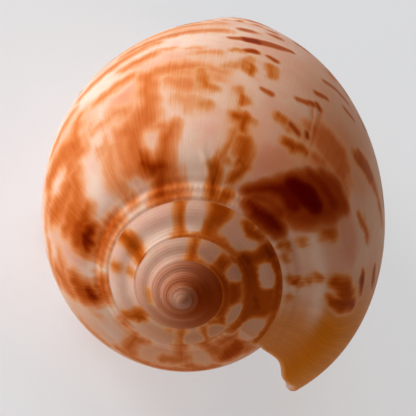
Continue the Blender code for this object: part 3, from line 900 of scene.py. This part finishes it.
def pattern(coordinates):
    """Pattern fields at the shell coordinates of the face corners."""
    behind, place, within = coordinates.T
    x = behind * across(MIDDLE_PLACE)
    shifted = behind + WANDER_ALONG * wander(x, place, WANDER_SIZE, 1)
    moved = place + WANDER_ACROSS * wander(x, place, WANDER_SIZE, 2)
    orange = painted(ORANGE, shifted, moved)
    ochre = painted(OCHRE, shifted, moved, OCHRE_EDGE)
    ochre = np.maximum(ochre, SPIRE_DEPTH * painted(SPIRE_MARKS, shifted, moved, SPIRE_EDGE))
    steady = (behind + (shifted - behind) / 3, place + (moved - place) / 3)
    maroon = painted(MAROON, *steady, BLOTCH_EDGE)
    maroon = np.maximum(maroon, painted(DASHES, *steady, DASH_EDGE))
    pale = painted(PALE, *steady, PALE_EDGE)
    lip = lip_share(behind, place)
    hidden = ease((place - np.interp(behind, *zip(*SEEN))) / SEEN_FADE)
    hidden = hidden * (behind < SPIRE_START) * (place > SHOULDER_PLACE) * (1 - DASH_LIP_FADE * lip)
    orange = np.maximum(orange, hidden * flames(x, place))
    maroon = np.maximum(maroon, hidden * painted(hidden_dashes(), behind, place, DASH_EDGE))
    return {
        "wash": painted(WASHES, shifted, moved, WASH_EDGE),
        "orange": orange - pale,
        "ochre": ochre - pale,
        "maroon": maroon - pale,
        "pink_and_shade": painted(PINK_AND_SHADE, shifted, moved, PINK_AND_SHADE_EDGE),
        "tan_and_shade": tan_and_shade_share(behind, place),
        "early": rise(behind, *EARLY_GROWTH),
        "brown_and_shade": brown_and_shade_share(behind),
        "crest": crest_share(behind, place),
        "lip": lip,
        "inside": within,
        "behind": behind,
        "place": place,
    }


def shell_piece():
    """Make the shell's visible mesh, with its pattern fields on the face corners."""
    skin = shell_skin()
    points = np.concatenate(skin.points) @ resting().T
    used = np.unique([corner[0] for face in skin.faces for corner in face])
    low, high = points[used].min(axis=0), points[used].max(axis=0)
    base = Vector(((low[0] + high[0]) / 2, (low[1] + high[1]) / 2, low[2]))
    points = (points - np.array(base)) * MM
    mesh = bpy.data.meshes.new("shell_skin")
    mesh.from_pydata(points.tolist(), [], [[corner[0] for corner in face] for face in skin.faces])
    number = mesh.attributes.new("number", "INT", "CORNER")
    number.data.foreach_set("value", [corner[1] for face in skin.faces for corner in face])
    form = bmesh.new()
    form.from_mesh(mesh)
    bmesh.ops.delete(form, geom=[v for v in form.verts if not v.link_faces], context="VERTS")
    bmesh.ops.recalc_face_normals(form, faces=form.faces)
    form.to_mesh(mesh)
    form.free()
    numbers = np.zeros(len(mesh.loops), np.int32)
    mesh.attributes["number"].data.foreach_get("value", numbers)
    mesh.attributes.remove(mesh.attributes["number"])
    for name, values in pattern(np.concatenate(skin.coordinates)).items():
        field = mesh.attributes.new(name, "FLOAT", "CORNER")
        field.data.foreach_set("value", values[numbers].astype(np.float32))
    mesh.shade_smooth()
    mesh.set_sharp_from_angle(angle=math.radians(SHARP_ANGLE))
    piece = bpy.data.objects.new("shell_skin", mesh)
    bpy.context.scene.collection.objects.link(piece)
    return piece, base


# Colours of the ground, of the lip and of the mouth
CREAM = srgb(241, 216, 202)
PINK = srgb(237, 198, 183)
BISCUIT = srgb(240, 214, 184)
PINK_AND_SHADE_TINT = srgb(226, 162, 140)
# Tan of the painted warm shade, partly the shell's own tan
SHADE_TAN = srgb(226, 174, 140)
EARLY_BROWN = srgb(194, 130, 96)
# Brown of the spire's side turned from the key light, partly painted shade
BROWN_AND_SHADE = srgb(170, 84, 20)
APEX_PINK = srgb(198, 156, 136)
LIP_TAN = srgb(226, 146, 30)
LIP_OCHRE = srgb(208, 128, 4)
MOUTH_WHITE = srgb(244, 226, 214)
WASH = srgb(232, 168, 128)
APEX_START, APEX_END = 1500.0, 2200.0

# Grain of the glaze: how it is stretched along the coil and across the whorl, and its shares in
# the frayed edges of the marks
STREAK_STRETCH = (1.1, 0.13, 0.0)
HAIR_STRETCH = (5.0, 0.35, 0.0)
LUMP_SCALE = 800.0
CLOUD_SCALE = 220.0
STREAK_FRAY = 0.32
HAIR_FRAY = 0.18
CLOUD_FRAY = 0.3
SPIRE_FRAY = 0.7
BLOTCH_FRAY = 0.2

# Stains, as steps from one depth to another and the colour reached there
OCHRE_STAIN = [
    (0.0, 0.34, srgb(232, 182, 142)),
    (0.14, 0.48, srgb(220, 140, 74)),
    (0.36, 0.66, srgb(196, 106, 28)),
    (0.56, 0.9, srgb(156, 76, 10)),
    (0.85, 1.15, srgb(128, 40, 4)),
]
ORANGE_STAIN = [
    (0.0, 0.32, srgb(238, 188, 152)),
    (0.12, 0.5, srgb(228, 152, 102)),
    (0.36, 0.74, srgb(208, 120, 56)),
    (0.62, 0.94, srgb(178, 82, 12)),
    (0.85, 1.12, srgb(132, 40, 2)),
]
MAROON_STAIN = [
    (0.0, 0.36, srgb(222, 160, 120)),
    (0.12, 0.5, srgb(200, 114, 54)),
    (0.38, 0.8, srgb(172, 76, 14)),
    (0.74, 1.02, srgb(146, 44, 6)),
    (0.94, 1.25, srgb(130, 16, 2)),
]

# Lights: heading as seen from the camera (right, up, towards it), distance, size, power, colour
LIGHTS = [
    ("key", (-0.70, 0.64, 0.28), 0.6, 0.5, 2.9, (1.0, 1.0, 1.0)),
    ("top", (0.1, 0.75, 0.1), 0.8, 0.8, 0.9, (1.0, 1.0, 1.0)),
]
LIGHT_TARGET = 0.012
FLOOR_SIZE = 6.0
WORLD_TINT = (1.0, 0.78, 0.6, 1.0)
WORLD_STRENGTH = 0.2
FLOOR_TINT = srgb(172, 178, 186)
FLOOR_TINT_EVEN = srgb(176, 182, 190)
FLOOR_GLOW = (0.35, 0.36, 0.37, 1.0)


class Shader:
    """Short ways to add and join shader nodes."""

    def __init__(self, name):
        self.material = bpy.data.materials.new(name)
        self.material.use_nodes = True
        self.tree = self.material.node_tree
        self.surface = self.tree.nodes["Principled BSDF"]

    def node(self, kind, **inputs):
        """Add a node and set or link its inputs by name or by number."""
        made = self.tree.nodes.new("ShaderNode" + kind)
        return self.fill(made, inputs)

    def fill(self, made, inputs):
        """Set or link a node's inputs."""
        for key, value in inputs.items():
            socket = made.inputs[int(key[1:]) if key[0] == "i" and key[1:].isdigit() else key]
            self.put(value, socket)
        return made

    def put(self, value, socket):
        """Set a socket, or link it when the value comes from another node."""
        if isinstance(value, bpy.types.NodeSocket):
            self.tree.links.new(value, socket)
        else:
            socket.default_value = value

    def math(self, operation, first, second=0.0, third=0.0):
        """Add a Math node."""
        made = self.node("Math", i0=first, i1=second, i2=third)
        made.operation = operation
        return made.outputs[0]

    def add(self, first, *others):
        """Sum of values."""
        for other in others:
            first = self.math("ADD", first, other)
        return first

    def times(self, first, second):
        """Product of two values."""
        return self.math("MULTIPLY", first, second)

    def field(self, name):
        """Read one of the pattern fields."""
        made = self.node("Attribute")
        made.attribute_name = name
        return made.outputs["Fac"]

    def between(self, value, low, high):
        """Rise smoothly from 0 at low to 1 at high."""
        made = self.node("MapRange", i0=value, i1=low, i2=high)
        made.interpolation_type = "SMOOTHSTEP"
        return made.outputs[0]

    def mix(self, share, first, second):
        """Mix two colours."""
        made = self.tree.nodes.new("ShaderNodeMix")
        made.data_type = "RGBA"
        for number, value in zip((0, 6, 7), (share, first, second)):
            self.put(value, made.inputs[number])
        return made.outputs[2]

    def stretched(self, vector, *scales):
        """Scale a vector along its axes."""
        made = self.node("VectorMath", i0=vector, i1=scales)
        made.operation = "MULTIPLY"
        return made.outputs[0]

    def noise(self, vector, scale, detail=2.0, rough=0.5):
        """Noise from about -0.5 to 0.5."""
        made = self.node("TexNoise", Vector=vector, Scale=scale, Detail=detail, Roughness=rough)
        return self.math("SUBTRACT", made.outputs["Fac"], 0.5)

    def frayed(self, depth, edge):
        """Depth of colour made uneven where there is any."""
        return self.add(depth, self.times(edge, self.between(depth, 0.0, 0.2)))

    def stain(self, colour, depth, stops):
        """Lay a stain over a colour: its stops are depths and the colours they give."""
        for low, high, tint in stops:
            colour = self.mix(self.between(depth, low, high), colour, tint)
        return colour


def glaze(piece):
    """The shell's glossy surface."""
    sh = Shader("glazed_shell")
    spot = sh.node("TexCoord").outputs["Object"]
    grown = sh.node("CombineXYZ", X=sh.field("behind"), Y=sh.field("place")).outputs[0]
    streak = sh.noise(sh.stretched(grown, *STREAK_STRETCH), 1.0, 4.0, 0.65)
    hair = sh.noise(sh.stretched(grown, *HAIR_STRETCH), 1.0, 3.0, 0.6)
    lumps = sh.noise(spot, LUMP_SCALE, 3.0)
    cloud = sh.noise(spot, CLOUD_SCALE, 3.0)
    spire = sh.between(sh.field("behind"), 340.0, 400.0)
    streaks = sh.add(sh.times(streak, STREAK_FRAY), sh.times(hair, HAIR_FRAY))
    streaks = sh.times(streaks, sh.math("MULTIPLY_ADD", spire, -SPIRE_FRAY, 1.0))
    edge = sh.add(streaks, sh.times(cloud, CLOUD_FRAY))

    colour = sh.mix(sh.between(cloud, -0.12, 0.12), CREAM, PINK)
    colour = sh.mix(sh.times(sh.between(streak, -0.05, 0.3), 0.35), colour, BISCUIT)
    # Tan ground on the sides turned from the key light: painted warm shade, partly the shell's own
    # tan
    colour = sh.mix(sh.times(sh.field("tan_and_shade"), 0.85), colour, SHADE_TAN)
    colour = sh.mix(sh.field("early"), colour, EARLY_BROWN)
    colour = sh.mix(sh.between(sh.field("behind"), APEX_START, APEX_END), colour, APEX_PINK)
    # Brown on the spire's side turned from the key light: partly its own brown, partly painted
    # shade
    colour = sh.mix(sh.field("brown_and_shade"), colour, BROWN_AND_SHADE)
    # Pink flush, with some painted shade on the shoulder below the crest
    colour = sh.mix(sh.times(sh.between(sh.field("pink_and_shade"), 0.0, 1.0), 0.8), colour, PINK_AND_SHADE_TINT)
    wash = sh.between(sh.add(sh.field("wash"), edge), 0.1, 0.8)
    colour = sh.mix(sh.times(wash, 0.7), colour, WASH)
    lip = sh.field("lip")
    colour = sh.mix(lip, colour, sh.mix(sh.between(streak, -0.3, 0.3), LIP_TAN, LIP_OCHRE))
    # Pale crest band: painted highlight, partly the crest's own paler colour
    colour = sh.mix(sh.times(sh.field("crest"), 0.9), colour, CREAM)
    depth = sh.frayed(sh.field("orange"), edge)
    colour = sh.stain(colour, depth, ORANGE_STAIN)
    depth = sh.frayed(sh.field("ochre"), edge)
    colour = sh.stain(colour, depth, OCHRE_STAIN)
    depth = sh.frayed(sh.field("maroon"), sh.times(edge, BLOTCH_FRAY))
    colour = sh.stain(colour, depth, MAROON_STAIN)

    colour = sh.mix(sh.field("inside"), colour, MOUTH_WHITE)
    height = sh.add(streak, sh.times(hair, 0.5), sh.times(lumps, 0.2))
    bump = sh.node("Bump", Strength=0.3, Distance=0.0001, Height=height)
    sh.fill(sh.surface, {
        "Base Color": colour, "Normal": bump.outputs[0], "Roughness": 0.34,
        "Specular IOR Level": 0.1, "IOR": 1.18,
        "Coat Weight": 0.03, "Coat Roughness": 0.22,
        "Subsurface Weight": 0.2, "Subsurface Scale": 0.0012,
        "Subsurface Radius": (1.0, 0.4, 0.2),
    })
    piece.data.materials.append(sh.material)


def floor_material():
    """Pale matt studio floor, lit a little from below."""
    sh = Shader("studio_floor")
    spot = sh.node("TexCoord").outputs["Object"]
    colour = sh.mix(sh.between(sh.noise(spot, 12.0), -0.2, 0.2), FLOOR_TINT, FLOOR_TINT_EVEN)
    sh.fill(sh.surface, {
        "Base Color": colour, "Roughness": 0.8,
        "Emission Color": FLOOR_GLOW, "Emission Strength": 1.0,
    })
    return sh.material


def studio(view):
    """Floor, soft lights and world."""
    bpy.ops.mesh.primitive_plane_add(size=FLOOR_SIZE)
    floor = bpy.context.object
    floor.name = "floor"
    floor.data.materials.append(floor_material())
    target = Vector((0.0, 0.0, LIGHT_TARGET))
    for name, heading, distance, size, power, tint in LIGHTS:
        lamp = bpy.data.lights.new(name, "AREA")
        lamp.shape = "DISK"
        lamp.size = size
        lamp.energy = power
        lamp.color = tint
        light = bpy.data.objects.new(name, lamp)
        direction = (view @ Vector(heading)).normalized()
        light.location = target + direction * distance
        light.rotation_euler = direction.to_track_quat("Z", "Y").to_euler()
        bpy.context.scene.collection.objects.link(light)
    world = bpy.data.worlds.new("studio_world")
    world.use_nodes = True
    background = world.node_tree.nodes["Background"]
    background.inputs["Color"].default_value = WORLD_TINT
    background.inputs["Strength"].default_value = WORLD_STRENGTH
    bpy.context.scene.world = world


def place_camera(turn, base):
    """Stand the camera where the photograph was taken, and give its axes."""
    tilt, heading = math.radians(AXIS_TILT), math.radians(AXIS_HEADING)
    level = math.radians(AXIS_HEADING - LIP_HEADING)
    flat = np.array([math.cos(level), math.sin(level), 0.0])
    side = np.array([math.sin(level), -math.cos(level), 0.0])
    axis = np.array([0.0, 0.0, 1.0])
    towards = math.sin(tilt) * flat + math.cos(tilt) * axis
    away = math.cos(tilt) * flat - math.sin(tilt) * axis
    right = math.cos(heading) * away + math.sin(heading) * side
    up = math.sin(heading) * away - math.cos(heading) * side
    focal = CAMERA_DISTANCE * PIXELS_PER_MM
    middle = PHOTO_SIZE / 2
    aim = right * (middle - APEX_PIXEL[0]) + up * (APEX_PIXEL[1] - middle) - towards * focal
    aim = Vector(turn @ aim).normalized()
    up = Vector(turn @ up)
    right = aim.cross(up).normalized()
    up = right.cross(aim)
    view = Matrix((right, up, -aim)).transposed()
    camera = bpy.data.cameras.new("camera")
    camera.sensor_width = SENSOR
    camera.lens = SENSOR * focal / PHOTO_SIZE
    camera.clip_start = 0.01
    stand = bpy.data.objects.new("camera", camera)
    location = (Vector(turn @ towards) * CAMERA_DISTANCE - base) * MM
    stand.matrix_world = Matrix.Translation(location) @ view.to_4x4()
    bpy.context.scene.collection.objects.link(stand)
    bpy.context.scene.camera = stand
    return view


shell, base = shell_piece()
glaze(shell)
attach(shell, "root")
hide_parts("shell")
view = place_camera(resting(), base)
studio(view)

scene = bpy.context.scene
scene.view_settings.view_transform = "Standard"
scene.view_settings.look = "High Contrast"
